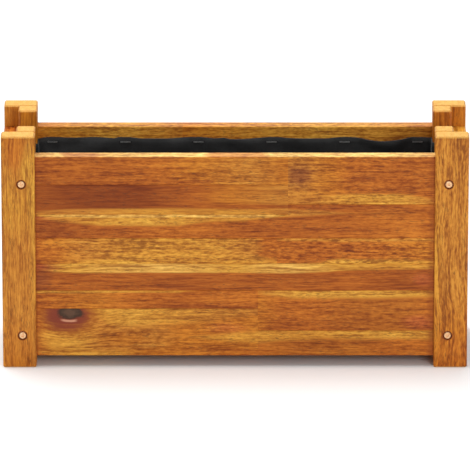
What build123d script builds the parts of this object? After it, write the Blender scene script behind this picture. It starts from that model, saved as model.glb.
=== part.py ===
"""Raised wooden planter of oiled acacia: four two-stick corner posts carry walls of tongue-and-groove
staves, and a slatted floor on two cleats carries a liner of non-woven cloth. Sizes are in millimetres."""

import os

from build123d import *

# Overall size: X is the length, Y the depth with the front at -Y, Z is up from the ground
planter_length = 500
planter_depth = 137
post_height = 260

# A corner post is a broad strip on the long face with a square leg screwed behind it
strip_width = 36
strip_thickness = 21
leg_depth = 20
post_ease = 2
post_end_ease = 1.5

# Walls of boards glued up from staves, between the gap over the ground and the rim
board_thickness = 16
foot_gap = 12
rim_drop = 23.6
board_ease = 0.4
rim_ease = 1.5

# Bands of a long wall from the bottom up. A band is one stack of staves, or two that butt end to end at
# that distance right of the middle, and each stack is the widths of its staves, from the bottom up
bands = (
    {"height": 73.7, "left": (53.3, 20.4), "right": (28.2, 45.5), "butt": 24.6},
    {"height": 30.4, "left": (30.4,)},
    {"height": 28.7, "left": (28.7,), "right": (28.7,), "butt": 45},
    {"height": 91.6, "left": (26.6, 33.4, 31.6), "right": (38.1, 53.5), "butt": 56.7},
)

# Tongue and groove from stave to stave, and the end tongues that slot into the strips
tongue_thickness = 5
tongue_height = 5
end_tongue_thickness = 6
end_tongue_length = 8
groove_play = 0.2
groove_end_play = 0.5

# Two screws hold each strip to its leg, placed from the post's inner edge and its two ends
post_screw_inset = 14.7
post_screw_rise = 36.2
post_screw_drop = 53.4
post_screw_head = 7.6
post_screw_head_height = 2.2
post_screw_head_ease = 0.5
post_screw_counterbore = 10
post_screw_sink = 2.6
post_screw_shank = 4.2
post_screw_bite = 13
screw_play = 0.2
hex_drive = 3
hex_drive_depth = 1.2

# Cleats along the long walls, and the floor slats that lie across them
cleat_height = 15
cleat_depth = 14
cleat_lift = 3
slat_count = 8
slat_thickness = 10
drain_gap = 6
slat_play = 0.5
slat_ease = 1

# Brads of flat-sided wire, driven through the slats into the cleats and the cleats into the staves
brad_wire = 1.2
brad_head = 2.4
brad_head_height = 0.8
slat_brad_bite = 11
cleat_brad_bite = 9

# Liner cloth, with its upper edge stapled to the top staves
liner_thickness = 1.2
liner_play = 0.3
liner_drop = 12
liner_corner = 1.8
staple_drop = 5
staple_width = 11
staple_wire = 1.2
staple_bite = 4
wire_play = 0.2
staple_end_margin = 16
long_wall_staple_count = 6
end_wall_staple_count = 2

# Places that follow from the sizes above
post_inner_x = planter_length / 2 - strip_width
leg_width = strip_width - board_thickness
inner_x = planter_length / 2 - board_thickness
inner_y = planter_depth / 2 - strip_thickness
wall_height = post_height - foot_gap - rim_drop
wall_top = foot_gap + wall_height
cleat_bottom = foot_gap + cleat_lift
slat_bottom = cleat_bottom + cleat_height
slat_top = slat_bottom + slat_thickness
slat_width = (2 * (inner_x - slat_play) - (slat_count - 1) * drain_gap) / slat_count
slat_pitch = slat_width + drain_gap
liner_bottom = slat_top + liner_play
liner_top = wall_top - liner_drop
staple_level = liner_top - staple_drop

corners = {"front_left": (-1, -1), "front_right": (1, -1), "rear_left": (-1, 1), "rear_right": (1, 1)}
outward = {"front": Vector(0, -1), "rear": Vector(0, 1), "left": Vector(-1, 0), "right": Vector(1, 0)}
long_walls = ("front", "rear")


def spread(count, half):
    """Evenly spaced places from -half to half."""
    return [half * (2 * i / (count - 1) - 1) for i in range(count)]


# Middles of the slats, and of the gaps between them, from the left
slat_middles = spread(slat_count, (slat_count - 1) * slat_pitch / 2)
gap_middles = [x + slat_pitch / 2 for x in slat_middles[:-1]]


def reach(wall):
    """From the planter's middle to the wall's inner face."""
    return inner_y if wall in long_walls else inner_x


def half_length(wall):
    """Half the length of the wall that shows between its two posts."""
    return post_inner_x if wall in long_walls else inner_y


def cross_plane(wall, place):
    """The upright plane across the wall at that place along it, counted to the right from its middle
    as seen from outside: x is outwards from its inner face, y is up and z is to the left."""
    out = outward[wall]
    middle = Plane(origin=out * reach(wall), x_dir=out, z_dir=out.cross(Vector(0, 0, 1)))
    return middle.offset(-place)


def inner_face(wall, inside=0):
    """The wall's inner face, or a plane that far inside it: z is outwards, and x is along the wall,
    to the right as seen from outside."""
    out = outward[wall]
    return Plane(origin=out * (reach(wall) - inside), x_dir=Vector(0, 0, 1).cross(out), z_dir=out)


def staple_middles(wall):
    """The staples' places along the wall, clear of the legs in the corners."""
    if wall in long_walls:
        return spread(long_wall_staple_count, post_inner_x - staple_end_margin)
    return spread(end_wall_staple_count, inner_y - leg_depth - staple_end_margin)


def staple_legs(wall):
    """Both legs of each staple on the wall, as points on its inner face."""
    half = (staple_width - staple_wire) / 2
    return [(x + side * half, staple_level) for x in staple_middles(wall) for side in (-1, 1)]


# A screw's or brad's seat is a plane on the face that it enters, with z pointing back out of the wood
def post_screw_seats(end, side):
    """The two screws of a post, on the strip's face."""
    x = end * (post_inner_x + post_screw_inset)
    levels = (post_screw_rise, post_height - post_screw_drop)
    return [Plane(origin=(x, side * planter_depth / 2, z), z_dir=(0, side, 0)) for z in levels]


def cleat_brad_seats(wall):
    """A cleat's brads, on its inner side, below every other gap of the slats."""
    y, z = reach(wall) - cleat_depth, cleat_bottom + cleat_height / 2
    out = outward[wall]
    return [Plane(origin=(x, out.Y * y, z), z_dir=-out) for x in gap_middles[::2]]


def slat_brad_seats(middle):
    """The two brads of a slat, on its upper face, in the middle of what lies on the cleats."""
    left = max(middle - slat_width / 2, slat_play - post_inner_x)
    right = min(middle + slat_width / 2, post_inner_x - slat_play)
    y = inner_y - cleat_depth / 2
    return [Plane(origin=((left + right) / 2, side * y, slat_top)) for side in (-1, 1)]


def brad(length, play=0):
    """A brad with its head's top at z = 0 and its wire downwards, thickened all round by the play."""
    with BuildPart() as nail:
        with BuildSketch():
            Rectangle(brad_head + 2 * play, brad_wire + 2 * play)
        extrude(amount=-brad_head_height - play)
        with BuildSketch():
            Rectangle(brad_wire + 2 * play, brad_wire + 2 * play)
        extrude(amount=-length - play)
    return nail.part


os.makedirs("parts", exist_ok=True)


def save(piece, name):
    piece.part.label = name
    export_step(piece.part, f"parts/{name}.step")


def stacks(wall):
    """The wall's stacks of staves from the bottom up, each as its start, end, low, high and widths."""
    half = half_length(wall)
    low = foot_gap
    for band in bands:
        high = low + band["height"] * wall_height / sum(each["height"] for each in bands)
        two_stacks = "right" in band
        if wall in long_walls:
            yield -half, band["butt"] if two_stacks else half, low, high, band["left"]
            if two_stacks:
                yield band["butt"], half, low, high, band["right"]
        else:
            yield -half, half, low, high, band["right" if two_stacks else "left"]
        low = high


def staves(wall):
    """The wall's staves, each as its start and end along the wall and its low and high edges."""
    for start, end, low, stack_high, widths in stacks(wall):
        fit = (stack_high - low) / sum(widths)
        for width in widths:
            yield start, end, low, low + width * fit
            low += width * fit


def stave(wall, start, end, low, high):
    """A stave with a tongue on its upper edge, a groove in its lower edge and tongues into the posts."""
    core = board_thickness / 2
    slot = tongue_height + groove_end_play
    lowest = low < foot_gap + groove_play
    rim = high > wall_top - groove_play
    with BuildPart() as board:
        with BuildSketch(cross_plane(wall, start)) as profile:
            with Locations((core, (low + high) / 2)):
                Rectangle(board_thickness, high - low)
            corners_by_height = profile.vertices().group_by(Axis.Y)
            chamfer(corners_by_height[0], board_ease)
            if rim:
                fillet(corners_by_height[-1], rim_ease)
            else:
                chamfer(corners_by_height[-1], board_ease)
                with Locations((core, high + tongue_height / 2)):
                    Rectangle(tongue_thickness, tongue_height)
            if not lowest:
                with Locations((core, low + slot / 2)):
                    Rectangle(tongue_thickness + 2 * groove_play, slot, mode=Mode.SUBTRACT)
        extrude(amount=start - end)
        for place, side in ((start, -1), (end, 1)):
            if abs(place) == half_length(wall):
                with BuildSketch(cross_plane(wall, place)):
                    with Locations((core, (low + high) / 2)):
                        Rectangle(end_tongue_thickness, high - low)
                extrude(amount=-side * end_tongue_length)
        if rim:
            with BuildSketch(inner_face(wall)):
                with Locations(*staple_legs(wall)):
                    Rectangle(staple_wire + 2 * wire_play, staple_wire + 2 * wire_play)
            extrude(amount=staple_bite + wire_play, mode=Mode.SUBTRACT)
        if lowest and wall in long_walls:
            with Locations(*cleat_brad_seats(wall)):
                add(brad(cleat_depth + cleat_brad_bite, wire_play), mode=Mode.SUBTRACT)
    return board


for wall in outward:
    for i, place in enumerate(staves(wall)):
        save(stave(wall, *place), f"{wall}_board_{i + 1}")


def corner_strip(end, side):
    """A post's broad stick: grooved in its inner edge and its back for the ends of the staves."""
    groove_width = end_tongue_thickness + 2 * groove_play
    groove_depth = end_tongue_length + groove_end_play
    core = board_thickness / 2
    with BuildPart() as strip:
        with BuildSketch():
            with Locations((end * (post_inner_x + strip_width / 2), side * (inner_y + strip_thickness / 2))):
                Rectangle(strip_width, strip_thickness)
        extrude(amount=post_height)
        fillet(strip.edges().filter_by(Axis.Z), post_ease)
        chamfer(strip.faces().filter_by(Axis.Z).edges(), post_end_ease)
        with BuildSketch(Plane.XY.offset(foot_gap - groove_play)):
            with Locations((end * (post_inner_x + groove_depth / 2), side * (inner_y + core))):
                Rectangle(groove_depth, groove_width)
            with Locations((end * (inner_x + core), side * (inner_y + groove_depth / 2))):
                Rectangle(groove_width, groove_depth)
        extrude(amount=wall_height + 2 * groove_play, mode=Mode.SUBTRACT)
        with Locations(*post_screw_seats(end, side)):
            CounterBoreHole(
                radius=post_screw_shank / 2 + screw_play,
                counter_bore_radius=post_screw_counterbore / 2,
                counter_bore_depth=post_screw_sink,
                depth=strip_thickness,
            )
    return strip


def corner_leg(end, side):
    """A post's square stick, flush with the strip's inner edge, with pilot holes for the screws."""
    with BuildPart() as leg:
        with BuildSketch():
            with Locations((end * (post_inner_x + leg_width / 2), side * (inner_y - leg_depth / 2))):
                Rectangle(leg_width, leg_depth)
        extrude(amount=post_height)
        chamfer(leg.edges(), post_end_ease)
        with Locations(*post_screw_seats(end, side)):
            Hole(post_screw_shank / 2 + screw_play, strip_thickness + post_screw_bite + screw_play)
    return leg


for corner, (end, side) in corners.items():
    save(corner_strip(end, side), f"{corner}_strip")
    save(corner_leg(end, side), f"{corner}_leg")


def cleat(wall):
    """A stick nailed to the lowest staves of a long wall, with its ends between the legs."""
    with BuildPart() as stick:
        with BuildSketch(Plane.XY.offset(cleat_bottom)):
            with Locations((0, outward[wall].Y * (inner_y - cleat_depth / 2))):
                Rectangle(2 * (post_inner_x - slat_play), cleat_depth)
        extrude(amount=cleat_height)
        chamfer(stick.edges().filter_by(Axis.X), slat_ease)
        with Locations(*cleat_brad_seats(wall)):
            add(brad(cleat_depth + cleat_brad_bite, wire_play), mode=Mode.SUBTRACT)
        for middle in slat_middles:
            with Locations(slat_brad_seats(middle)[long_walls.index(wall)]):
                add(brad(slat_thickness + slat_brad_bite, wire_play), mode=Mode.SUBTRACT)
    return stick


for wall in long_walls:
    save(cleat(wall), f"{wall}_cleat")


def floor_slat(middle):
    """A slat across both cleats; the outermost two are notched round the legs."""
    with BuildPart() as slat:
        with BuildSketch(Plane.XY.offset(slat_bottom)):
            with Locations((middle, 0)):
                Rectangle(slat_width, 2 * (inner_y - slat_play))
            with GridLocations(2 * inner_x - leg_width, 2 * inner_y - leg_depth, 2, 2):
                Rectangle(leg_width + 2 * slat_play, leg_depth + 2 * slat_play, mode=Mode.SUBTRACT)
        extrude(amount=slat_thickness)
        chamfer(slat.faces().filter_by(Axis.Z).edges().filter_by(Axis.Y), slat_ease)
        with Locations(*slat_brad_seats(middle)):
            add(brad(slat_thickness + slat_brad_bite, wire_play), mode=Mode.SUBTRACT)
    return slat


for i, middle in enumerate(slat_middles):
    save(floor_slat(middle), f"floor_slat_{i + 1}")

# Post screw with its seat at the origin, its head above and its shank below
with BuildPart() as post_screw:
    with BuildSketch():
        Circle(post_screw_head / 2)
    extrude(amount=post_screw_head_height)
    chamfer(post_screw.edges().sort_by(Axis.Z)[-1], post_screw_head_ease)
    with BuildSketch():
        Circle(post_screw_shank / 2)
    extrude(amount=post_screw_sink - strip_thickness - post_screw_bite)
    with BuildSketch(Plane.XY.offset(post_screw_head_height)):
        RegularPolygon(hex_drive / 2, 6, major_radius=False)
    extrude(amount=-hex_drive_depth, mode=Mode.SUBTRACT)

# The eight post screws, seated on the floors of their counterbores
with BuildPart() as post_screws:
    for end, side in corners.values():
        with Locations(*[seat.offset(-post_screw_sink) for seat in post_screw_seats(end, side)]):
            add(post_screw.part)
save(post_screws, "post_screws")

# The brads, each group with its heads flush with the wood
with BuildPart() as slat_brads:
    for middle in slat_middles:
        with Locations(*slat_brad_seats(middle)):
            add(brad(slat_thickness + slat_brad_bite))
save(slat_brads, "slat_brads")

with BuildPart() as cleat_brads:
    for wall in long_walls:
        with Locations(*cleat_brad_seats(wall)):
            add(brad(cleat_depth + cleat_brad_bite))
save(cleat_brads, "cleat_brads")

# Liner: an open cloth tray that stands on the slats, runs round the legs and stops below the rim
with BuildPart() as liner:
    with BuildSketch(Plane.XY.offset(liner_bottom)) as outline:
        Rectangle(2 * (inner_x - liner_play), 2 * (inner_y - liner_play))
        with GridLocations(2 * inner_x - leg_width, 2 * inner_y - leg_depth, 2, 2):
            Rectangle(leg_width + 2 * liner_play, leg_depth + 2 * liner_play, mode=Mode.SUBTRACT)
        chamfer(outline.vertices(), liner_corner)
    extrude(amount=liner_top - liner_bottom)
    offset(amount=-liner_thickness, openings=liner.faces().sort_by(Axis.Z)[-1])
    for wall in outward:
        with BuildSketch(inner_face(wall, liner_play + liner_thickness)):
            with Locations(*staple_legs(wall)):
                Rectangle(staple_wire + 2 * wire_play, staple_wire + 2 * wire_play)
        extrude(amount=liner_thickness + liner_play, mode=Mode.SUBTRACT)
save(liner, "liner")

# Staples: a crown on the cloth, and two legs through it into the top stave
with BuildPart() as liner_staples:
    crown_back = liner_play + liner_thickness + staple_wire
    for wall in outward:
        with BuildSketch(inner_face(wall, crown_back)):
            with Locations(*[(x, staple_level) for x in staple_middles(wall)]):
                Rectangle(staple_width, staple_wire)
        extrude(amount=staple_wire)
        with BuildSketch(inner_face(wall, crown_back)):
            with Locations(*staple_legs(wall)):
                Rectangle(staple_wire, staple_wire)
        extrude(amount=crown_back + staple_bite)
save(liner_staples, "liner_staples")
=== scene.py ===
import math
import random

import bmesh
import bpy
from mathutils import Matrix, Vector


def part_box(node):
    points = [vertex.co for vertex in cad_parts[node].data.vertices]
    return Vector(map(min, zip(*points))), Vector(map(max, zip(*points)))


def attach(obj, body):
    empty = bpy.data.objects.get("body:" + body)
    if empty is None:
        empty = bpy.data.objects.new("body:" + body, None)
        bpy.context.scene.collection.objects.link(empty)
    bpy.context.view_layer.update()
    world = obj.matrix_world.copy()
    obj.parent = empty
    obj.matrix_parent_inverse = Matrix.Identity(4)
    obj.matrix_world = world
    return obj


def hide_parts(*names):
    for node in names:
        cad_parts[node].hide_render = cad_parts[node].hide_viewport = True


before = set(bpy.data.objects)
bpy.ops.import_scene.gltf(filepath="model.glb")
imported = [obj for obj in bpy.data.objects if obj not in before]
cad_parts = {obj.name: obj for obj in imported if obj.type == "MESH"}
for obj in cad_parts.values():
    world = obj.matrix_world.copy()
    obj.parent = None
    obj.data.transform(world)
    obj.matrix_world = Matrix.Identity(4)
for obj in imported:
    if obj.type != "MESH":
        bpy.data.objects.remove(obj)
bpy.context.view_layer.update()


# Shader maths: a number in a node tree that can be used in Python expressions
class Level:
    def __init__(self, book, socket):
        self.book = book
        self.socket = socket

    def maths(self, operation, *values):
        return self.book.level("ShaderNodeMath", {"operation": operation}, dict(enumerate(values)))

    def __add__(self, other):
        return self.maths("ADD", self, other)

    def __sub__(self, other):
        return self.maths("SUBTRACT", self, other)

    def __rsub__(self, other):
        return self.maths("SUBTRACT", other, self)

    def __mul__(self, other):
        return self.maths("MULTIPLY", self, other)

    def __truediv__(self, other):
        return self.maths("DIVIDE", self, other)

    def __pow__(self, other):
        return self.maths("POWER", self, other)

    def __rpow__(self, other):
        return self.maths("POWER", other, self)

    def __abs__(self):
        return self.maths("ABSOLUTE", self)

    __radd__ = __add__
    __rmul__ = __mul__


# The nodes of one material, world or lamp
class NodeBook:
    def __init__(self, holder):
        holder.use_nodes = True
        self.nodes = holder.node_tree.nodes
        self.links = holder.node_tree.links
        self.nodes.clear()

    def add(self, kind, settings, values):
        node = self.nodes.new(kind)
        for key, value in settings.items():
            if key == "stops":
                elements = node.color_ramp.elements
                while len(elements) < len(value):
                    elements.new(1)
                for element, (position, colour) in zip(elements, value):
                    element.position = position
                    element.color = colour
            elif key == "fade":
                node.color_ramp.interpolation = value
            else:
                setattr(node, key, value)
        for key, value in values.items():
            socket = node.inputs[key]
            source = value.socket if isinstance(value, Level) else value
            if isinstance(source, bpy.types.NodeSocket):
                self.links.new(source, socket)
            else:
                socket.default_value = source
        return node

    def level(self, kind, settings, values, output=0):
        return Level(self, self.add(kind, settings, values).outputs[output])

    def fade(self, value, low, high):  # smooth step from 0 at low to 1 at high
        limits = {0: value, 1: low, 2: high, 3: 0, 4: 1}
        return self.level("ShaderNodeMapRange", {"interpolation_type": "SMOOTHSTEP"}, limits)

    def blend(self, factor, first, second, how="MIX"):
        settings = {"data_type": "RGBA", "blend_type": how}
        return self.add("ShaderNodeMix", settings, {0: factor, 6: first, 7: second}).outputs[2]

    def ramp(self, value, stops, fade="LINEAR"):
        return self.add("ShaderNodeValToRGB", {"stops": stops, "fade": fade}, {0: value}).outputs[0]

    def surface(self, bump, values, name):  # the shader that a material ends with
        if bump:
            values["Normal"] = self.add("ShaderNodeBump", {}, bump).outputs[0]
        bsdf = self.add("ShaderNodeBsdfPrincipled", {}, values)
        self.add("ShaderNodeOutputMaterial", {}, {0: bsdf.outputs[0]})
        return bpy.data.materials[name]

    def vector(self, x, y, z):
        return self.add("ShaderNodeCombineXYZ", {}, {0: x, 1: y, 2: z}).outputs[0]

    def noise(self, vector, sizes, seed, detail=2.0, roughness=0.5):
        scale = tuple(1 / size for size in sizes)
        spot = self.add("ShaderNodeVectorMath", {"operation": "MULTIPLY_ADD"},
                        {0: vector, 1: scale, 2: seed})
        values = {"Vector": spot.outputs[0], "Scale": 1, "Detail": detail, "Roughness": roughness}
        return self.level("ShaderNodeTexNoise", {}, values) - 0.5


def linear(rgb):  # the display's 0 to 255 as linear light
    parts = [c / 255 for c in rgb]
    return tuple(p / 12.92 if p < 0.04045 else ((p + 0.055) / 1.055) ** 2.4 for p in parts) + (1,)


def grey(value):
    return (value, value, value, 1)


# Acacia's tones as they look under plain light, from sapwood to dark heartwood
tones = {
    "cream": (240, 196, 104),
    "paleGold": (232, 176, 82),
    "gold": (214, 150, 52),
    "honey": (203, 134, 42),
    "tan": (194, 121, 39),
    "amber": (192, 112, 27),
    "orange": (186, 101, 25),
    "russet": (176, 97, 24),
    "rust": (174, 90, 21),
    "redBrown": (160, 79, 18),
    "mahogany": (137, 61, 10),
    "rose": (182, 90, 40),
    "smoke": (132, 64, 30),
    "soot": (66, 46, 32),
    "plum": (104, 36, 34),
    "ash": (96, 68, 50),
    "blush": (206, 144, 112),
}

# What the grain is like; sizes and places are in millimetres along, across and through the piece
grainSettings = {
    "wave": (90, 22, 3.2),
    "ripple": (26, 9, 0.8),
    "bands": {"size": (170, 9, 14), "strength": 0.7},
    "streaks": {"size": (50, 2.8, 5), "strength": 1.35},
    "fibres": {"size": (14, 1.1, 1.8), "strength": 1.15},
    "figure": {"size": (6.5, 2.4, 4), "strength": 1.1},
    "veins": {"size": (75, 1.9, 3.5), "limits": (0.05, 0.2), "strength": 0.75,
              "shade": (0.6, 0.47, 0.38, 1)},
    "flecks": {"size": (11, 1.7, 2.5), "limits": (0.08, 0.22), "strength": 0.7,
               "shade": (1.25, 1.42, 1.6, 1)},
    "markAreas": {"size": (60, 10, 10), "limits": (-0.12, 0.14)},
    "fleckShare": {"figure": 0.6, "plain": 0.25},
    "pores": {"size": (5.5, 0.7, 0.9), "limits": (0.08, 0.18), "strength": 0.5},
    "poreAreas": {"size": (40, 8, 8), "limits": (-0.1, 0.12)},
    "tint": [(0.0, (0.52, 0.40, 0.34, 1)), (0.3, (0.80, 0.72, 0.66, 1)), (0.5, (1, 1, 1, 1)),
             (0.72, (1.16, 1.26, 1.36, 1)), (1.0, (1.36, 1.6, 1.9, 1))],
    "toneShift": {"streaks": 18, "bands": 32},
    "stripe": {"widest": 60, "ripple": 1.2, "streak": 0.9},
    "patch": {"feather": 8, "ripple": 2, "streak": 0.35, "outside": 1.15},
    # the painted shadow that the posts cast on the front staves' ends: start, end and strength
    "grime": {"right": (205, 211, 0.42), "left": (-211.5, -213.5, 0.5)},
    "relief": {"fibres": 0.6, "streaks": 0.35, "pores": 0.9, "strength": 0.35, "distance": 0.0006},
    "roughness": {"base": 0.44, "streak": 0.1, "pores": 0.2, "sawn": 0.15},
}
knotSettings = {
    "rough": {"figure": 0.9, "streaks": 0.25},
    "spread": {"shift": 3.5, "powers": (2.6, 2.2, 0.42), "rough": 0.3, "streaks": 0.35},
    "halo": (1.06, 0.62),
    "inner": (0.95, 0.35),
    "tail": {"limits": (1.3, 0.85), "strength": 0.6},
    "border": 0.4,
    "core": {"limits": (1.2, 0.8), "rough": 0.7, "heart": (0.2, 0.9)},
    "rose": 0.263,
    "glint": {"radius": 1.32, "rough": 0.2, "width": (0.27, 0.08), "below": (-0.9, -1.1), "shift": 0.13,
              "reach": (0.75, 0.35)},
}
endSettings = {
    "facing": (0.55, 0.85),
    "skippedDraws": 5,
    "tan": 0.2716,
    "dots": {"size": (1.1, 1.1, 1.1), "limits": (0.04, 0.18), "strength": 0.5},
    "blotch": {"size": (9, 4, 6), "limits": (-0.12, 0.16), "strength": 0.35},
}
# settings of the painted highlight on the rim's upward faces
rimHighlightSettings = {"facing": (0.5, 0.9), "contrast": 1.2, "cover": 0.8, "strength": 0.8}
# the painted shade in the counterbores
counterboreShadeSettings = {"rough": 0.6, "inside": 0.1, "strength": 0.85}
plainLook = {"stripes": [], "patches": [], "counterbores": [], "figure": 0.3, "wave": 1, "contrast": 1.25,
             "gloss": 0.22, "endTone": "honey"}


# Levels, seeds and repeated steps of one wood material
class Grain:
    def __init__(self, name, axes, look, seed):
        self.shader = NodeBook(bpy.data.materials.new(name))
        self.look = dict(plainLook, **look)
        self.chance = random.Random(seed)
        place = self.shader.add("ShaderNodeTexCoord", {}, {})
        split = self.shader.add("ShaderNodeSeparateXYZ", {}, {0: place.outputs["Object"]})
        millimetres = {letter: Level(self.shader, split.outputs[i]) * 1000 for i, letter in enumerate("xyz")}
        self.along, self.across, self.through = (millimetres[letter] for letter in axes)
        self.straight = self.shader.vector(self.along, self.across, self.through)
        face = self.shader.add("ShaderNodeNewGeometry", {}, {})
        facing = self.shader.add("ShaderNodeSeparateXYZ", {}, {0: face.outputs["Normal"]})
        self.crossing = abs(Level(self.shader, facing.outputs["xyz".index(axes[0])]))
        self.upwards = Level(self.shader, facing.outputs[2])

    def seeds(self):
        return tuple(self.chance.uniform(-50, 50) for _ in range(3))

    def slow(self, sizes, detail=1.0):
        return self.shader.noise(self.straight, sizes, self.seeds(), detail)

    def area(self, name):
        mark = grainSettings[name]
        return self.shader.fade(self.slow(mark["size"]), *mark["limits"])

    def drift(self, name):
        long, wide, amount = grainSettings[name]
        return self.slow((long, wide, wide)) * (2 * amount * self.look["wave"])

    def layer(self, name, detail, roughness=0.55):
        mark = grainSettings[name]
        noise = self.shader.noise(self.flow, mark["size"], self.seeds(), detail, roughness)
        return noise * mark["strength"]

    def mark(self, name, detail, roughness=0.5):
        size, limits = (grainSettings[name][key] for key in ("size", "limits"))
        noise = self.shader.noise(self.flow, size, self.seeds(), detail, roughness)
        return self.shader.fade(noise, *limits)

    def share(self, place):  # a place along the piece as a part of its span
        start, end = self.look["span"]
        return (place - start) / (end - start)

    def tones(self, stops):
        colours = [(self.share(place), linear(tones[tone])) for place, tone in stops]
        return self.shader.ramp(self.spot, colours)

    def amounts(self, stops, full=1):
        greys = [(self.share(place), grey(amount / full)) for place, amount in stops]
        return Level(self.shader, self.shader.ramp(self.spot, greys))

    def cover(self, factor, colour, tone):
        return self.shader.blend(factor, colour, linear(tones[tone]))

    def shade(self, colour, level):
        tint = self.shader.ramp(level + 0.5, grainSettings["tint"])
        return self.shader.blend(1, colour, tint, "MULTIPLY")


def bendGrain(wood):  # the grain's lines waver, and part round a knot
    knot = wood.look.get("knot")
    bent = wood.across + wood.drift("wave")
    wood.ripple = wood.drift("ripple")
    bent = bent + wood.ripple
    if knot:
        u = (wood.along - knot["along"]) / knot["reach"][0]
        v = (wood.across - knot["across"]) / knot["reach"][1]
        near = math.e ** (0 - u * u - v * v)
        bent = bent - (wood.across - knot["across"]) * near * knot["bulge"]
    wood.flow = wood.shader.vector(wood.along, bent, wood.through)
    wood.bands = wood.layer("bands", 2)
    wood.streaks = wood.layer("streaks", 3, 0.6)
    wood.fibres = wood.layer("fibres", 2, 0.6)
    wood.figure = wood.layer("figure", 2, 0.6) * wood.look["figure"]
    wood.streak = wood.bands + wood.streaks + wood.fibres + wood.figure


def toneWood(wood):  # tones along the grain, with their borders feathered into the streaks
    shader, kit = wood.shader, grainSettings
    shift = wood.streaks * kit["toneShift"]["streaks"] + wood.bands * kit["toneShift"]["bands"]
    wood.spot = wood.share(wood.along + shift)
    colour = wood.tones(wood.look["tones"])
    edge = kit["stripe"]
    for band in wood.look["stripes"]:
        reach = abs(wood.across - band["from"]) + wood.ripple * edge["ripple"]
        reach = reach + wood.streak * band["soft"] * edge["streak"]
        inside = wood.amounts(band["width"], edge["widest"]) * edge["widest"] - reach
        mask = shader.fade(inside, -band["soft"] / 2, band["soft"] / 2)
        colour = shader.blend(mask, colour, wood.tones(band["tones"]))
    edge = kit["patch"]
    for patch in wood.look["patches"]:
        u = (wood.along + wood.streaks * edge["feather"] - patch["along"]) / patch["size"][0]
        v = (wood.across + wood.ripple * edge["ripple"] - patch["across"]) / patch["size"][1]
        radius = (u * u + v * v) ** 0.5 + wood.streak * edge["streak"]
        mask = shader.fade(radius, edge["outside"], 1 - patch["soft"]) * patch["strength"]
        colour = wood.cover(mask, colour, patch["tone"])
    return colour


def markWood(wood, colour):  # veins, flecks and pores
    kit = grainSettings
    contrast = wood.look["contrast"]
    colour = wood.shade(colour, wood.streak * contrast)
    fleckAmount = wood.look["figure"] * kit["fleckShare"]["figure"] + kit["fleckShare"]["plain"]
    for name, amount in (("veins", contrast), ("flecks", fleckAmount)):
        there = wood.mark(name, 2, 0.6)
        there = there * wood.area("markAreas") * min(1, kit[name]["strength"] * amount)
        colour = wood.shader.blend(there, colour, kit[name]["shade"], "MULTIPLY")
    wood.pores = wood.mark("pores", 1)
    wood.pores = wood.pores * wood.area("poreAreas")
    return wood.cover(wood.pores * kit["pores"]["strength"], colour, "soot")


def addKnot(wood, colour):
    shader, kit, knot = wood.shader, knotSettings, wood.look["knot"]
    along, across = wood.along - knot["along"], wood.across - knot["across"]
    u, v = along / knot["core"][0], across / knot["core"][1]
    radius = (u * u + v * v) ** 0.5
    rough = wood.figure * kit["rough"]["figure"] + wood.streaks * kit["rough"]["streaks"]
    wide = kit["spread"]
    wideAlong = abs(along + wide["shift"]) / knot["halo"][0]
    wideAcross = abs(across) / knot["halo"][1]
    first, second, root = wide["powers"]
    spread = (wideAlong ** first + wideAcross ** second) ** root
    spread = spread + rough * wide["rough"] + wood.streaks * wide["streaks"]
    tail = shader.fade(spread, *kit["tail"]["limits"]) * kit["tail"]["strength"]
    below = shader.fade(wood.across, knot["top"] + kit["border"], knot["top"] - kit["border"])
    core = shader.fade(radius + rough * kit["core"]["rough"], *kit["core"]["limits"])
    colour = wood.cover(tail * below, colour, "redBrown")
    plum = wood.cover(shader.fade(spread, *kit["inner"]), linear(tones["smoke"]), "plum")
    plum = wood.cover(kit["rose"], plum, "rose")
    colour = shader.blend(shader.fade(spread, *kit["halo"]) * below, colour, plum)
    heart = wood.cover(shader.fade(radius + rough, *kit["core"]["heart"]), linear(tones["ash"]), "soot")
    colour = shader.blend(core * below, colour, heart)
    arc = kit["glint"]
    glint = shader.fade(abs(radius - arc["radius"] + rough * arc["rough"]), *arc["width"])
    glint = glint * shader.fade(v, *arc["below"]) * shader.fade(abs(u + arc["shift"]), *arc["reach"])
    return wood.cover(glint, colour, "blush")


def addRimHighlight(wood, colour):  # painted highlight: the rim's upward faces blended towards pale cream
    kit = rimHighlightSettings
    upwards = wood.shader.fade(wood.upwards, *kit["facing"])
    bare = 1 - wood.amounts(wood.look["rim"]) * kit["cover"]
    top = wood.shade(linear(tones["cream"]), wood.streak * kit["contrast"])
    return wood.shader.blend(upwards * bare * kit["strength"], colour, top)


def addSawnEnds(wood, colour):  # an even tone with blotches and short pores, on faces that cross the grain
    shader, kit = wood.shader, endSettings
    for _ in range(kit["skippedDraws"]):  # so that the pores and blotches stay in their places
        wood.chance.random()
    dots = shader.fade(wood.slow(kit["dots"]["size"], 2), *kit["dots"]["limits"])
    blotch = shader.fade(wood.slow(kit["blotch"]["size"], 2), *kit["blotch"]["limits"])
    sawn = wood.cover(kit["tan"], linear(tones[wood.look["endTone"]]), "tan")
    sawn = wood.cover(blotch * kit["blotch"]["strength"], sawn, "honey")
    sawn = wood.cover(dots * kit["dots"]["strength"], sawn, "orange")
    wood.sawn = shader.fade(wood.crossing, *kit["facing"])
    return shader.blend(wood.sawn, colour, sawn)


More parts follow.
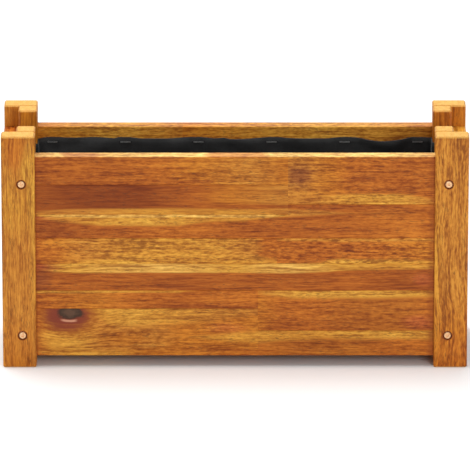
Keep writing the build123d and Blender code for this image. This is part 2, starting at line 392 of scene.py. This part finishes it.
def woodMaterial(name, axes, look, seed):
    wood = Grain(name, axes, look, seed)
    shader, kit = wood.shader, grainSettings
    bendGrain(wood)
    colour = markWood(wood, toneWood(wood))
    if "knot" in look:
        colour = addKnot(wood, colour)
    if look.get("contact"):  # painted shadow that the posts cast on the staves' ends
        right, left = (shader.fade(wood.along, start, end) * strength for start, end, strength in
                       (kit["grime"][side] for side in ("right", "left")))
        colour = wood.cover(right + left, colour, "mahogany")
    # painted highlight on the rim's upward faces
    if "rim" in look:
        colour = addRimHighlight(wood, colour)
    colour = addSawnEnds(wood, colour)
    for ring in wood.look["counterbores"]:  # painted shade in the counterbores: a dark ring round each screw
        away = ((wood.along - ring["along"]) ** 2 + (wood.across - ring["across"]) ** 2) ** 0.5
        away = away + wood.fibres * counterboreShadeSettings["rough"]
        counterboreShade = shader.fade(away, ring["radius"] + ring["soft"], ring["radius"] + counterboreShadeSettings["inside"])
        colour = wood.cover(counterboreShade * counterboreShadeSettings["strength"], colour, "mahogany")
    relief, rough = kit["relief"], kit["roughness"]
    height = wood.fibres * relief["fibres"] + wood.streaks * relief["streaks"] - wood.pores * relief["pores"]
    bump = {"Height": height, "Strength": relief["strength"], "Distance": relief["distance"]}
    roughness = rough["base"] - wood.streak * rough["streak"] + wood.pores * rough["pores"]
    return shader.surface(bump, {
        "Base Color": colour, "Roughness": roughness + wood.sawn * rough["sawn"],
        "Specular IOR Level": wood.look["gloss"]}, name)


def dress(node, material):
    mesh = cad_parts[node].data
    mesh.materials.clear()
    mesh.materials.append(material)


# The front wall's staves: tones from left to right in mm from the middle, stripes measured from an edge
frontStaves = {
    "front_board_1": {
        "tones": [(-214, "orange"), (-196, "honey"), (-165, "honey"), (-145, "tan"), (-120, "tan"),
                  (-85, "tan"), (-60, "amber"), (0, "amber"), (24, "amber")],
        "stripes": [
            {"from": 65.3, "soft": 9, "width": [(-214, 4), (-150, 8), (-130, 20), (-60, 18), (24, 6)],
             "tones": [(-214, "orange"), (-150, "honey"), (-110, "gold"), (-70, "honey"), (24, "tan")]},
            {"from": 12, "soft": 6, "width": [(-214, 2), (-170, 3), (-80, 9), (24, 8)],
             "tones": [(-214, "amber"), (-150, "gold"), (-100, "amber"), (24, "orange")]},
            {"from": 33, "soft": 5, "width": [(-214, 0), (-50, 0), (0, 6), (24, 7)],
             "tones": [(-214, "tan"), (24, "honey")]}],
        "patches": [
            {"along": -180, "across": 28, "size": (32, 14), "tone": "gold", "soft": 0.8, "strength": 0.5},
            {"along": -118, "across": 31, "size": (36, 12), "tone": "amber", "soft": 0.8, "strength": 0.7},
            {"along": -8, "across": 43, "size": (28, 8), "tone": "rose", "soft": 0.8, "strength": 0.5}],
        "knot": {"along": -177, "across": 60.5, "top": 65.4, "core": (14, 7), "halo": (29, 25),
                 "reach": (36, 24), "bulge": 0.6},
        "figure": 1.0, "wave": 1.2},
    "front_board_2": {
        "tones": [(-214, "orange"), (-150, "amber"), (-110, "orange"), (-60, "rust"), (-20, "orange"),
                  (24, "orange")],
        # the thin gold line along the top edge is a painted highlight on the eased edge
        "stripes": [{"from": 85.7, "soft": 1.6, "width": [(-214, 2.6), (-60, 2.4), (-40, 0), (24, 0)],
                     "tones": [(-214, "gold"), (-60, "honey"), (24, "amber")]},
                    {"from": 65.3, "soft": 4, "width": [(-214, 0), (-120, 1), (-60, 6), (24, 4)],
                     "tones": [(-214, "rust"), (24, "redBrown")]}],
        "figure": 0.9},
    "front_board_3": {
        "tones": [(24, "orange"), (60, "russet"), (130, "russet"), (170, "orange"), (214, "orange")],
        "stripes": [
            {"from": 40.2, "soft": 6, "width": [(24, 14), (60, 11), (90, 9), (214, 10)],
             "tones": [(24, "honey"), (90, "honey"), (150, "gold"), (180, "gold"), (214, "honey")]}],
        "patches": [
            {"along": 66, "across": 18, "size": (32, 6), "tone": "rust", "soft": 0.8, "strength": 0.45}],
        "figure": 0.9, "wave": 0.7},
    "front_board_4": {
        "tones": [(24, "amber"), (50, "orange"), (80, "orange"), (140, "russet"), (190, "russet"),
                  (214, "orange")],
        "stripes": [{"from": 85.7, "soft": 6, "width": [(24, 1), (34, 5), (60, 9), (120, 9), (214, 8)],
                     "tones": [(24, "tan"), (70, "gold"), (120, "gold"), (170, "gold"), (214, "honey")]}],
        "patches": [
            {"along": 198, "across": 50, "size": (22, 10), "tone": "rose", "soft": 0.7, "strength": 0.8},
            {"along": 50, "across": 44, "size": (30, 6), "tone": "rust", "soft": 0.8, "strength": 0.7}],
        "figure": 1.0, "wave": 1.2},
    "front_board_5": {
        "tones": [(-214, "redBrown"), (-190, "rust"), (-100, "rust"), (-60, "redBrown"), (20, "rust"),
                  (80, "rust"), (130, "rust"), (214, "redBrown")],
        "stripes": [
            {"from": 116.1, "soft": 2.4,
             "width": [(-214, 6), (-196, 10), (60, 10.5), (100, 9), (125, 7), (214, 6)],
             "tones": [(-214, "rose"), (-184, "gold"), (-80, "paleGold"), (0, "gold"), (60, "paleGold"),
                       (110, "gold"), (160, "honey"), (214, "honey")]}],
        "patches": [
            {"along": 202, "across": 98, "size": (14, 9), "tone": "rose", "soft": 0.6, "strength": 0.7},
            {"along": -207, "across": 98, "size": (14, 13), "tone": "smoke", "soft": 0.8,
             "strength": 0.55}],
        "figure": 0.4, "wave": 0.7},
    "front_board_6": {
        "tones": [(-214, "orange"), (-190, "amber"), (-160, "tan"), (-115, "honey"), (-60, "honey"),
                  (-20, "honey"), (20, "tan"), (30, "orange"), (45, "orange")],
        "stripes": [
            {"from": 116.1, "soft": 7, "width": [(-214, 1), (-150, 5), (-60, 11), (20, 9), (45, 4)],
             "tones": [(-214, "rust"), (-160, "honey"), (-120, "gold"), (-70, "honey"), (45, "honey")]}],
        "patches": [
            {"along": -198, "across": 128, "size": (22, 10), "tone": "orange", "soft": 0.8,
             "strength": 0.7}],
        "figure": 1.5, "wave": 0.9},
    "front_board_7": {
        "tones": [(45, "orange"), (80, "rust"), (110, "rust"), (150, "orange"), (214, "amber")],
        "stripes": [{"from": 116.1, "soft": 4, "width": [(45, 0), (90, 1.5), (110, 5), (214, 4)],
                     "tones": [(45, "amber"), (110, "gold"), (214, "honey")]},
                    {"from": 144.8, "soft": 2, "width": [(45, 3), (120, 4), (214, 4)],
                     "tones": [(45, "tan"), (214, "tan")]}],
        "patches": [
            {"along": 121, "across": 134, "size": (11, 5), "tone": "mahogany", "soft": 0.7,
             "strength": 0.9}],
        "figure": 2.0, "wave": 1.4},
    "front_board_8": {
        "tones": [(-214, "redBrown"), (-170, "redBrown"), (-120, "rust"), (-60, "orange"), (0, "rust"),
                  (56, "rust")],
        "stripes": [
            {"from": 171.4, "soft": 4,
             "width": [(-214, 4), (-195, 7), (-140, 12.5), (-60, 12.5), (-30, 8), (10, 7), (35, 4), (56, 2)],
             "tones": [(-214, "rose"), (-190, "tan"), (-150, "honey"), (-100, "gold"), (-30, "honey"),
                       (10, "honey"), (56, "amber")]},
            # the thin pale line along the top edge is a painted highlight on the eased edge
            {"from": 171.4, "soft": 1.2, "width": [(-214, 1.5), (-200, 3), (30, 3), (56, 2)],
             "tones": [(-214, "honey"), (-180, "paleGold"), (20, "paleGold"), (56, "honey")]}],
        "figure": 1.0, "wave": 0.9},
    "front_board_9": {
        "tones": [(-214, "redBrown"), (-180, "mahogany"), (-100, "mahogany"), (-75, "redBrown"),
                  (-40, "rust"), (-5, "amber"), (40, "tan"), (56, "tan")],
        "stripes": [
            {"from": 171.4, "soft": 3, "width": [(-214, 4), (-180, 6.5), (-80, 7), (0, 6.5), (56, 3)],
             "tones": [(-214, "tan"), (-160, "tan"), (-110, "honey"), (-50, "honey"), (0, "honey"),
                       (56, "tan")]}],
        "patches": [
            {"along": 12, "across": 180.3, "size": (62, 3), "tone": "rust", "soft": 0.5, "strength": 0.95},
            {"along": -190, "across": 184, "size": (30, 5), "tone": "redBrown", "soft": 0.8,
             "strength": 0.6}],
        "figure": 0.3, "wave": 0.6, "contrast": 0.95},
    "front_board_10": {
        "tones": [(-214, "redBrown"), (-190, "rust"), (-140, "rust"), (-80, "orange"), (-40, "amber"),
                  (20, "tan"), (56, "amber")],
        "stripes": [
            {"from": 236.4, "soft": 5, "width": [(-214, 7), (-130, 9), (-60, 3), (56, 1)],
             "tones": [(-214, "rust"), (-80, "orange"), (56, "amber")]},
            {"from": 204.8, "soft": 2.5, "width": [(-214, 5), (-190, 6), (-30, 6), (-20, 1), (56, 1)],
             "tones": [(-214, "redBrown"), (-120, "rust"), (-60, "rust"), (56, "tan")]}],
        "figure": 1.0, "wave": 0.8},
    "front_board_11": {
        "tones": [(56, "rust"), (110, "rust"), (160, "orange"), (214, "orange")],
        "stripes": [
            {"from": 173.4, "soft": 3, "width": [(56, 4.5), (80, 3.5), (105, 1.5), (125, 0), (214, 0)],
             "tones": [(56, "tan"), (90, "tan"), (214, "rust")]}],
        "patches": [
            {"along": 130, "across": 180, "size": (90, 3.5), "tone": "redBrown", "soft": 0.8,
             "strength": 0.8}],
        "figure": 0.8, "wave": 0.9},
    "front_board_12": {
        "tones": [(56, "tan"), (72, "tan"), (100, "amber"), (125, "orange"), (180, "rust"),
                  (214, "orange")],
        "stripes": [
            {"from": 182.9, "soft": 4,
             "width": [(56, 4), (76, 5), (92, 11), (150, 12), (190, 11), (214, 7)],
             "tones": [(56, "tan"), (85, "tan"), (120, "honey"), (170, "gold"), (214, "tan")]}],
        "patches": [
            {"along": 69, "across": 215, "size": (20, 17), "tone": "smoke", "soft": 0.75,
             "strength": 0.75},
            {"along": 130, "across": 212, "size": (22, 8), "tone": "redBrown", "soft": 0.8,
             "strength": 0.6}],
        "figure": 1.3, "wave": 0.8},
}
sharedGrain = {  # staves that butt end to end are cut from like wood, so their grain runs on
    "front_board_1": 11, "front_board_3": 11, "front_board_2": 12, "front_board_4": 12, "front_board_6": 13,
    "front_board_7": 13, "front_board_8": 14, "front_board_9": 14, "front_board_11": 14,
    "front_board_10": 15, "front_board_12": 15,
}
rimHighlightCover = {  # how far the painted highlight on the rim's top is held back where the wood there is darker
    "front_board_10": [(-214, 0.3), (-190, 0.1), (-184, 0.9), (-152, 0.9), (-140, 0), (-32, 0), (-22, 1),
                       (28, 0.9), (36, 0)],
    "front_board_12": [(56, 0), (195, 0), (204, 0.4)],
}

# Looks of the staves that the other walls are drawn from; places are parts of the length
otherStaves = [
    {"tones": [(0, "rust"), (0.4, "redBrown"), (1, "orange")],
     "edge": ("top", 0.34, ["gold", "paleGold", "honey"]), "figure": 0.5},
    {"tones": [(0, "amber"), (0.5, "gold"), (1, "tan")],
     "edge": ("bottom", 0.3, ["tan", "amber", "honey"]), "figure": 1.2},
    {"tones": [(0, "redBrown"), (0.35, "mahogany"), (1, "rust")],
     "edge": ("bottom", 0.2, ["amber", "honey", "rust"]), "figure": 0.2},
    {"tones": [(0, "orange"), (0.6, "rust"), (1, "orange")],
     "edge": ("top", 0.22, ["tan", "honey", "tan"]), "figure": 0.4},
    {"tones": [(0, "tan"), (0.5, "amber"), (1, "orange")],
     "edge": ("top", 0.3, ["gold", "tan", "gold"]), "figure": 0.7},
    {"tones": [(0, "rust"), (0.5, "orange"), (1, "rust")],
     "edge": ("bottom", 0.28, ["gold", "honey", "tan"]), "figure": 1.4},
]
rimLevel = 236  # only the topmost staves reach higher, and they have no tongue
tongueHeight = 5
edgeStops = (0, 0.35, 0.7)  # where the stripe along an edge changes its tone, and below its width
widthStops = (0, 0.3, 0.7, 1)
widthShares = (0.6, 1.3)
waveShares = (0.6, 1.2)
edgeSoftness = 5


def wallSpan(node, axis):
    low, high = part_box(node)
    return low["xyz".index(axis)] * 1000, high["xyz".index(axis)] * 1000


def otherLook(node, axis, chance):
    recipe = chance.choice(otherStaves)
    start, end = wallSpan(node, axis)
    bottom, top = wallSpan(node, "z")
    top = top if top > rimLevel else top - tongueHeight
    tonesAlong = recipe["tones"]
    if chance.random() < 0.5:
        tonesAlong = [(1 - p, t) for p, t in reversed(tonesAlong)]
    side, share, edgeTones = recipe["edge"]
    length = end - start
    width = (top - bottom) * share
    stripe = {
        "from": top if side == "top" else bottom, "soft": edgeSoftness,
        "width": [(start + p * length, width * chance.uniform(*widthShares)) for p in widthStops],
        "tones": [(start + p * length, t) for p, t in zip(edgeStops, edgeTones)]}
    return {"tones": [(start + p * length, t) for p, t in tonesAlong], "stripes": [stripe],
            "figure": recipe["figure"], "span": (start, end), "wave": chance.uniform(*waveShares)}


chance = random.Random(41)
for node in sorted(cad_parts):
    seed = chance.randrange(10000)
    if "_board_" in node:
        grain = "xzy" if node.startswith(("front", "rear")) else "yzx"
        if node in frontStaves:
            look = dict(frontStaves[node])
            look["endTone"] = "orange"
            seed = sharedGrain.get(node, seed)
            look["span"] = (look["tones"][0][0], look["tones"][-1][0])
            # painted shadow of the posts on the staves' ends
            look["contact"] = True
            # how far the rim's painted highlight is held back
            if node in rimHighlightCover:
                look["rim"] = rimHighlightCover[node]
        else:
            look = otherLook(node, grain[0], chance)
        dress(node, woodMaterial(node + "_acacia", grain, look, seed))
print("walls dressed")

# Posts: a strip and a leg each, tones from the foot up
postSpan = (0, 262)
screwLine = 228.7  # from the middle of the planter
# the counterbores, which get painted shade
screwRings = [{"along": z, "radius": 5.0, "soft": 1.0} for z in (36.2, 206.6)]
postLooks = {
    "front_left_strip": {
        "tones": [(0, "amber"), (60, "tan"), (140, "tan"), (180, "honey"), (230, "tan"), (262, "amber")],
        "stripes": [{"from": -216, "soft": 5, "width": [(0, 2), (150, 3), (195, 6), (225, 14), (262, 5)],
                     "tones": [(0, "tan"), (190, "gold"), (225, "gold"), (262, "tan")]}],
        "patches": [
            {"along": 240, "across": -236, "size": (26, 12), "tone": "orange", "soft": 0.8,
             "strength": 0.8}],
        "figure": 0.6, "wave": 0.9},
    "front_right_strip": {
        "tones": [(0, "orange"), (40, "amber"), (90, "tan"), (190, "tan"), (262, "tan")],
        "stripes": [{"from": 216, "soft": 5, "width": [(0, 1), (150, 5), (200, 2), (262, 2)],
                     "tones": [(0, "amber"), (120, "honey"), (262, "tan")]}],
        "patches": [
            {"along": 20, "across": 236, "size": (22, 12), "tone": "orange", "soft": 0.8,
             "strength": 0.7}],
        "figure": 1.0, "wave": 2.1, "contrast": 1.5},
}
plainPosts = [
    {"tones": [(0, "tan"), (110, "amber"), (262, "tan")], "figure": 0.5, "wave": 1.2},
    {"tones": [(0, "amber"), (130, "honey"), (262, "amber")], "figure": 0.4, "wave": 0.8},
    {"tones": [(0, "orange"), (90, "tan"), (262, "orange")], "figure": 0.6, "wave": 1.5},
]
for node in sorted(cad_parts):
    if node.endswith(("_strip", "_leg")):
        look = dict(postLooks[node]) if node in postLooks else dict(chance.choice(plainPosts))
        look["span"] = postSpan
        look["endTone"] = "cream"
        if node.endswith("_strip"):
            side = -screwLine if "left" in node else screwLine
            look["counterbores"] = [dict(ring, across=side) for ring in screwRings]
        dress(node, woodMaterial(node + "_acacia", "zxy", look, chance.randrange(10000)))
print("posts dressed")

# Floor slats and cleats: the same wood, left without oil
bareLooks = [
    {"tones": [(0, "tan"), (0.5, "honey"), (1, "tan")], "figure": 0.4},
    {"tones": [(0, "orange"), (0.5, "rust"), (1, "orange")], "figure": 0.5},
    {"tones": [(0, "gold"), (0.6, "tan"), (1, "amber")], "figure": 0.7},
]
bareGloss = 0.12
for node in sorted(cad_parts):
    if node.endswith("_cleat") or node.startswith("floor_slat"):
        grain = "xyz" if node.endswith("_cleat") else "yxz"
        look = dict(chance.choice(bareLooks))
        start, end = wallSpan(node, grain[0])
        look["tones"] = [(start + p * (end - start), t) for p, t in look["tones"]]
        look["span"] = (start, end)
        look["gloss"] = bareGloss
        dress(node, woodMaterial(node + "_bare", grain, look, chance.randrange(10000)))
print("floor dressed")


metalSettings = {
    "cloud": {"size": (1.6, 1.6, 1.6), "seed": (3, 7, 1)},
    "scratch": {"size": (0.25, 0.25, 3), "seed": (9, 2, 5)},
    "mask": {"scratch": 0.5, "limits": (-0.2, 0.25)},
    "relief": {"strength": 0.2, "distance": 0.0002},
    "cloudRoughness": 0.3,
}


def millimetreSpot(shader):
    place = shader.add("ShaderNodeTexCoord", {}, {})
    return shader.add("ShaderNodeVectorMath", {"operation": "SCALE"},
                      {0: place.outputs["Object"], 3: 1000}).outputs[0]


def metalMaterial(name, look):
    kit = metalSettings
    shader = NodeBook(bpy.data.materials.new(name))
    spot = millimetreSpot(shader)
    cloud = shader.noise(spot, kit["cloud"]["size"], kit["cloud"]["seed"], 3)
    scratch = shader.noise(spot, kit["scratch"]["size"], kit["scratch"]["seed"], 2)
    mask = shader.fade(cloud + scratch * kit["mask"]["scratch"], *kit["mask"]["limits"])
    colour = shader.blend(mask, linear(look["dull"]), linear(look["bright"]))
    bump = {"Height": scratch, "Strength": kit["relief"]["strength"], "Distance": kit["relief"]["distance"]}
    return shader.surface(bump, {
        "Base Color": colour, "Metallic": look["metallic"],
        "Roughness": look["roughness"] - cloud * kit["cloudRoughness"]}, name)


screwLook = {"dull": (226, 170, 118), "bright": (252, 214, 168), "metallic": 0.55, "roughness": 0.42}
steelLook = {"dull": (128, 128, 126), "bright": (188, 188, 186), "metallic": 0.9, "roughness": 0.4}
dress("post_screws", metalMaterial("screw_head", screwLook))
steel = metalMaterial("zinc_steel", steelLook)
for node in ("slat_brads", "cleat_brads", "liner_staples"):
    dress(node, steel)
print("fasteners dressed")

# Liner: an open tray of non-woven cloth, stapled below the rim and slack between the staples
linerSettings = {
    "halfLength": 0.2337, "halfWidth": 0.0472, "notchX": 0.2137, "notchY": 0.0272,
    "bottom": 0.0403, "top": 0.2244, "cell": 0.006, "thickness": 0.0012,
    "stapleLevel": 0.2194, "stapleX": (0.0396, 0.1188, 0.198), "stapleY": (0.0115,), "pinReach": 0.0085,
    "frames": 24, "mostInward": 0.0055, "mostSag": 0.004,
    "nudge": 0.0012, "staplePitch": 0.0792, "swing": {"share": 0.5, "x": 23, "y": 40, "shift": 1},
    "cloth": {"quality": 6, "mass": 0.05, "tension_stiffness": 30, "compression_stiffness": 30,
              "shear_stiffness": 12, "bending_stiffness": 0.6, "shrink_min": -0.05},
    "gravity": 0.15, "near": 1e-4, "clear": 0.001,
}
clothSettings = {
    "fibres": {"size": (0.5, 0.5, 0.5), "seed": (4, 9, 2)},
    "cloudy": {"size": (30, 30, 30), "seed": (1, 5, 8)},
    "dots": {"Scale": 0.55, "Randomness": 0.25},
    "pressed": (0.34, 0.22),
    "shade": {"cloudy": 0.6, "pressed": 0.25, "limits": (-0.3, 0.4), "dark": 0.011, "light": 0.042},
    "relief": {"fibres": 0.6, "pressed": 0.5, "strength": 0.5, "distance": 0.0005},
    "roughness": {"base": 0.86, "pressed": 0.2},
    "surface": {"Specular IOR Level": 0.25, "Sheen Weight": 0.15, "Sheen Roughness": 0.4},
}


def linerTray(kit):
    form = bmesh.new()
    across = round(2 * kit["halfLength"] / kit["cell"])
    along = round(2 * kit["halfWidth"] / kit["cell"])
    bmesh.ops.create_grid(form, x_segments=across, y_segments=along, size=1)
    bmesh.ops.scale(form, vec=(kit["halfLength"], kit["halfWidth"], 1), verts=form.verts)
    bmesh.ops.translate(form, vec=(0, 0, kit["bottom"]), verts=form.verts)
    cuts = [((side * kit["notchX"], 0, 0), (1, 0, 0)) for side in (-1, 1)]
    cuts += [((0, side * kit["notchY"], 0), (0, 1, 0)) for side in (-1, 1)]
    for spot, normal in cuts:
        everything = form.verts[:] + form.edges[:] + form.faces[:]
        bmesh.ops.bisect_plane(form, geom=everything, dist=1e-5, plane_co=spot, plane_no=normal)
    corners = []
    for face in form.faces:
        middle = face.calc_center_median()
        if abs(middle.x) > kit["notchX"] and abs(middle.y) > kit["notchY"]:
            corners.append(face)
    bmesh.ops.delete(form, geom=corners, context="FACES")
    rim = [edge for edge in form.edges if edge.is_boundary]
    steps = round((kit["top"] - kit["bottom"]) / kit["cell"])
    rise = (kit["top"] - kit["bottom"]) / steps
    for _ in range(steps):
        grown = bmesh.ops.extrude_edge_only(form, edges=rim)["geom"]
        rim = [item for item in grown if isinstance(item, bmesh.types.BMEdge)]
        upper = [item for item in grown if isinstance(item, bmesh.types.BMVert)]
        bmesh.ops.translate(form, vec=(0, 0, rise), verts=upper)
    bmesh.ops.recalc_face_normals(form, faces=form.faces)
    floor = min(form.faces, key=lambda face: face.calc_center_median().z)
    if floor.normal.z > 0:
        bmesh.ops.reverse_faces(form, faces=form.faces)
    return form


def inOrder(form):  # points and faces sorted by place, so that the cloth comes out the same each time
    def place(point):
        return tuple(round(part, 7) for part in point.co)

    points = sorted(form.verts, key=place)
    number = {point: i for i, point in enumerate(points)}
    faces = []
    for face in form.faces:
        corners = [number[point] for point in face.verts]
        start = corners.index(min(corners))
        faces.append(corners[start:] + corners[:start])
    return [place(point) for point in points], [], sorted(faces)


def onWall(place, kit):  # whether a point of the tray lies on a long wall, and on an end wall
    long = abs(abs(place.y) - kit["halfWidth"]) < kit["near"]
    end = abs(abs(place.x) - kit["halfLength"]) < kit["near"]
    return long, end


def nudged(place, kit):  # a small start inwards, so that the cloth always buckles the same way
    height = (place.z - kit["bottom"]) / (kit["top"] - kit["bottom"])
    swell = 0.5 + 0.5 * math.cos(2 * math.pi * place.x / kit["staplePitch"])
    swing = kit["swing"]
    ripple = math.sin(swing["x"] * place.x + swing["y"] * place.y + swing["shift"])
    reach = kit["nudge"] * height * swell * (1 + swing["share"] * ripple)
    moved = place.copy()
    long, end = onWall(place, kit)
    if long:
        moved.y -= math.copysign(reach, place.y)
    if end:
        moved.x -= math.copysign(reach, place.x)
    return moved


def besideStaple(place, kit):
    if abs(place.z - kit["stapleLevel"]) > kit["pinReach"]:
        return False
    long, end = onWall(place, kit)
    if long:
        return any(abs(abs(place.x) - x) < kit["pinReach"] for x in kit["stapleX"])
    return end and any(abs(abs(place.y) - y) < kit["pinReach"] for y in kit["stapleY"])


def slackPlaces(cloth, held, kit):  # where a cloth simulation takes the tray's points
    pins = cloth.vertex_groups.new(name="pins")
    pins.add(held, 1.0, "REPLACE")
    modifier = cloth.modifiers.new("slack", "CLOTH")
    for key, value in kit["cloth"].items():
        setattr(modifier.settings, key, value)
    modifier.settings.vertex_group_mass = "pins"
    modifier.settings.effector_weights.gravity = kit["gravity"]
    modifier.collision_settings.use_collision = False
    scene = bpy.context.scene
    for step in range(1, kit["frames"] + 1):
        scene.frame_set(step)
    formed = cloth.evaluated_get(bpy.context.evaluated_depsgraph_get()).data
    moved = [vertex.co.copy() for vertex in formed.vertices]
    scene.frame_set(1)
    cloth.modifiers.remove(modifier)
    cloth.vertex_groups.remove(pins)
    return moved


def slacken(cloth, kit):  # lets the cloth buckle a little between its staples, and keeps it off the wood
    rest = [vertex.co.copy() for vertex in cloth.data.vertices]
    held = [i for i, place in enumerate(rest)
            if besideStaple(place, kit) or place.z < kit["bottom"] + kit["near"]]
    free = sorted(set(range(len(rest))) - set(held))
    for i in free:
        cloth.data.vertices[i].co = nudged(rest[i], kit)
    moved = slackPlaces(cloth, held, kit)
    for i in free:
        change = moved[i] - rest[i]
        place = rest[i].copy()
        long, end = onWall(place, kit)
        place.z = max(kit["bottom"], place.z + max(-kit["mostSag"], min(0, change.z)))
        if long and not end and abs(place.x) < kit["notchX"] - kit["clear"]:
            place.y -= math.copysign(min(abs(change.y), kit["mostInward"]), place.y)
        if end and abs(place.y) < kit["notchY"] - kit["clear"]:
            place.x -= math.copysign(min(abs(change.x), kit["mostInward"]), place.x)
        cloth.data.vertices[i].co = place


def linerMaterial():
    kit = clothSettings
    name = "nonwoven_cloth"
    shader = NodeBook(bpy.data.materials.new(name))
    spot = millimetreSpot(shader)
    fibres = shader.noise(spot, kit["fibres"]["size"], kit["fibres"]["seed"], 4, 0.7)
    cloudy = shader.noise(spot, kit["cloudy"]["size"], kit["cloudy"]["seed"], 3)
    dots = shader.level("ShaderNodeTexVoronoi", {}, dict(kit["dots"], Vector=spot))
    pressed = shader.fade(dots, *kit["pressed"])
    tone, relief, rough = kit["shade"], kit["relief"], kit["roughness"]
    shade = shader.fade(fibres + cloudy * tone["cloudy"] - pressed * tone["pressed"], *tone["limits"])
    bump = {"Height": fibres * relief["fibres"] - pressed * relief["pressed"],
            "Strength": relief["strength"], "Distance": relief["distance"]}
    return shader.surface(bump, {
        "Base Color": shader.blend(shade, grey(tone["dark"]), grey(tone["light"])),
        "Roughness": rough["base"] - pressed * rough["pressed"], **kit["surface"]}, name)


def addLiner():
    kit = linerSettings
    form = linerTray(kit)
    mesh = bpy.data.meshes.new("liner_sheet")
    mesh.from_pydata(*inOrder(form))
    form.free()
    cloth = bpy.data.objects.new("liner_sheet", mesh)
    bpy.context.scene.collection.objects.link(cloth)
    slacken(cloth, kit)
    for polygon in mesh.polygons:
        polygon.use_smooth = True
    wall = cloth.modifiers.new("wall", "SOLIDIFY")
    wall.thickness = kit["thickness"]
    wall.offset = -1
    mesh.materials.append(linerMaterial())
    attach(cloth, "root")
    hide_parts("liner")


addLiner()
print("liner hung")

# Pale floor, soft studio light and the photograph's camera
lightSettings = {
    "world": 0.42,
    "lamps": [
        {"name": "overhead", "place": (-0.5, 0.5, 2.6), "size": 2.4, "power": 68},
        {"name": "front", "place": (1.3, -3.2, 1.4), "size": 1.6, "power": 40},
    ],
    "aim": (0, 0, 0.12),
}
cameraSettings = {"distance": 7.0, "elevation": 18.0, "aim": (0, -0.0685, 0.1502), "lens": 500.5,
                  "farthest": 50}
floorSettings = {"half": 4, "shade": 0.88, "roughness": 0.9, "lift": 0.16, "footprint": (0.25, 0.0685),
                 "border": (0.9, 1.1)}


def addStage():  # pale floor, lifted to white for the camera alone, but not under the part, which paints shade there
    kit = floorSettings
    mesh = bpy.data.meshes.new("floor")
    form = bmesh.new()
    bmesh.ops.create_grid(form, x_segments=1, y_segments=1, size=kit["half"])
    form.to_mesh(mesh)
    form.free()
    floor = bpy.data.objects.new("floor", mesh)
    bpy.context.scene.collection.objects.link(floor)
    shader = NodeBook(bpy.data.materials.new("pale_floor"))
    path = shader.add("ShaderNodeLightPath", {}, {})
    place = shader.add("ShaderNodeTexCoord", {}, {})
    split = shader.add("ShaderNodeSeparateXYZ", {}, {0: place.outputs["Object"]})
    sideways, inwards = (abs(Level(shader, split.outputs[i])) / half
                         for i, half in enumerate(kit["footprint"]))
    # the lift is left out under the part: painted shade under it
    outside = shader.fade(sideways.maths("MAXIMUM", sideways, inwards), *kit["border"])
    lift = shader.blend(outside * Level(shader, path.outputs["Is Camera Ray"]), grey(0), grey(kit["lift"]))
    mesh.materials.append(shader.surface(None, {
        "Base Color": grey(kit["shade"]), "Roughness": kit["roughness"], "Specular IOR Level": 0,
        "Emission Color": lift, "Emission Strength": 1}, "pale_floor"))


def addWorld():
    world = bpy.data.worlds.new("studio")
    bpy.context.scene.world = world
    shader = NodeBook(world)
    path = shader.add("ShaderNodeLightPath", {}, {})
    seen = Level(shader, path.outputs["Is Camera Ray"])
    for ray in ("Is Glossy Ray", "Is Transmission Ray"):
        seen = seen.maths("MAXIMUM", seen, Level(shader, path.outputs[ray]))
    colour = shader.blend(seen, grey(lightSettings["world"]), grey(1))
    sky = shader.add("ShaderNodeBackground", {}, {0: colour, 1: 1})
    shader.add("ShaderNodeOutputWorld", {}, {0: sky.outputs[0]})


def addLamps():
    for lamp in lightSettings["lamps"]:
        light = bpy.data.lights.new(lamp["name"], "AREA")
        light.shape = "DISK"
        light.size = lamp["size"]
        light.energy = lamp["power"]
        holder = bpy.data.objects.new(lamp["name"], light)
        holder.location = lamp["place"]
        towards = Vector(lightSettings["aim"]) - Vector(lamp["place"])
        holder.rotation_euler = towards.to_track_quat("-Z", "Y").to_euler()
        bpy.context.scene.collection.objects.link(holder)


def addCamera():
    camera = bpy.data.cameras.new("camera")
    camera.lens = cameraSettings["lens"]
    camera.clip_end = cameraSettings["farthest"]
    holder = bpy.data.objects.new("camera", camera)
    tilt = math.radians(cameraSettings["elevation"])
    back = Vector((0, -math.cos(tilt), math.sin(tilt)))
    holder.location = Vector(cameraSettings["aim"]) + back * cameraSettings["distance"]
    holder.rotation_euler = (-back).to_track_quat("-Z", "Y").to_euler()
    bpy.context.scene.collection.objects.link(holder)
    bpy.context.scene.camera = holder


addStage()
addWorld()
addLamps()
addCamera()
bpy.context.scene.view_settings.view_transform = "Standard"
print("studio built")
